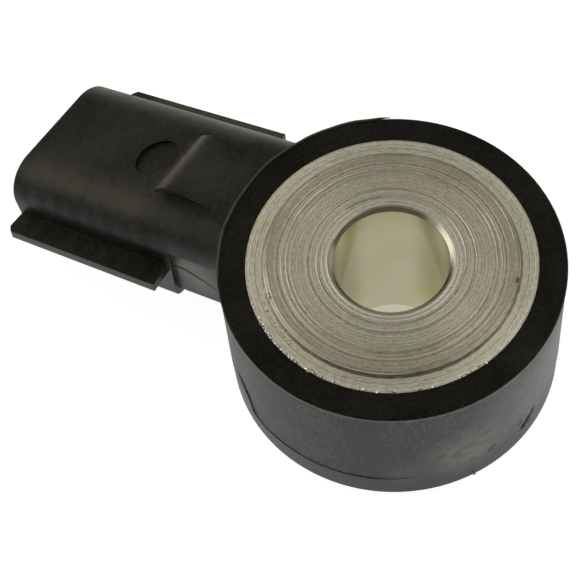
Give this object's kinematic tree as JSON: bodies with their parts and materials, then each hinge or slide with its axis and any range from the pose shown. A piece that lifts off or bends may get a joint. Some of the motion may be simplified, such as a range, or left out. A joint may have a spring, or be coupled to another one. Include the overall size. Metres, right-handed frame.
{
  "type": "engine knock sensor",
  "caption": "Flat ring knock sensor: black moulded drum around a flanged steel sleeve with a bolt bore, and a tilted two-way plug connector with side wings and a locking wedge.",
  "frame": {"origin": "centre of the bolt bore at the sleeve's back end", "axes": "+Z along the bore out of the clamped metal face, -X towards the connector, +Y across it"},
  "size_m": [0.046, 0.0252, 0.0178],
  "materials": {
    "moulding": "satin moulded",
    "steel": "turned",
    "steel_inner": "plain",
    "insulator": "film",
    "contact": "tin plated",
    "ceramic": "fired",
    "ceramic_chip": "fired"
  },
  "bodies": {
    "root": {"housing": "moulding", "sleeve": "steel", "insulating_tube": "insulator", "washer_upper": "insulator", "contact_disc_upper": "contact", "piezo_ring": "ceramic", "contact_disc_lower": "contact", "washer_lower": "insulator", "seismic_mass": "steel_inner", "disc_spring": "steel_inner", "clamp_nut": "steel_inner", "terminal_left": "contact", "terminal_right": "contact", "resistor_body": "ceramic_chip", "resistor_cap_left": "contact", "resistor_cap_right": "contact"}
  },
  "joints": []
}
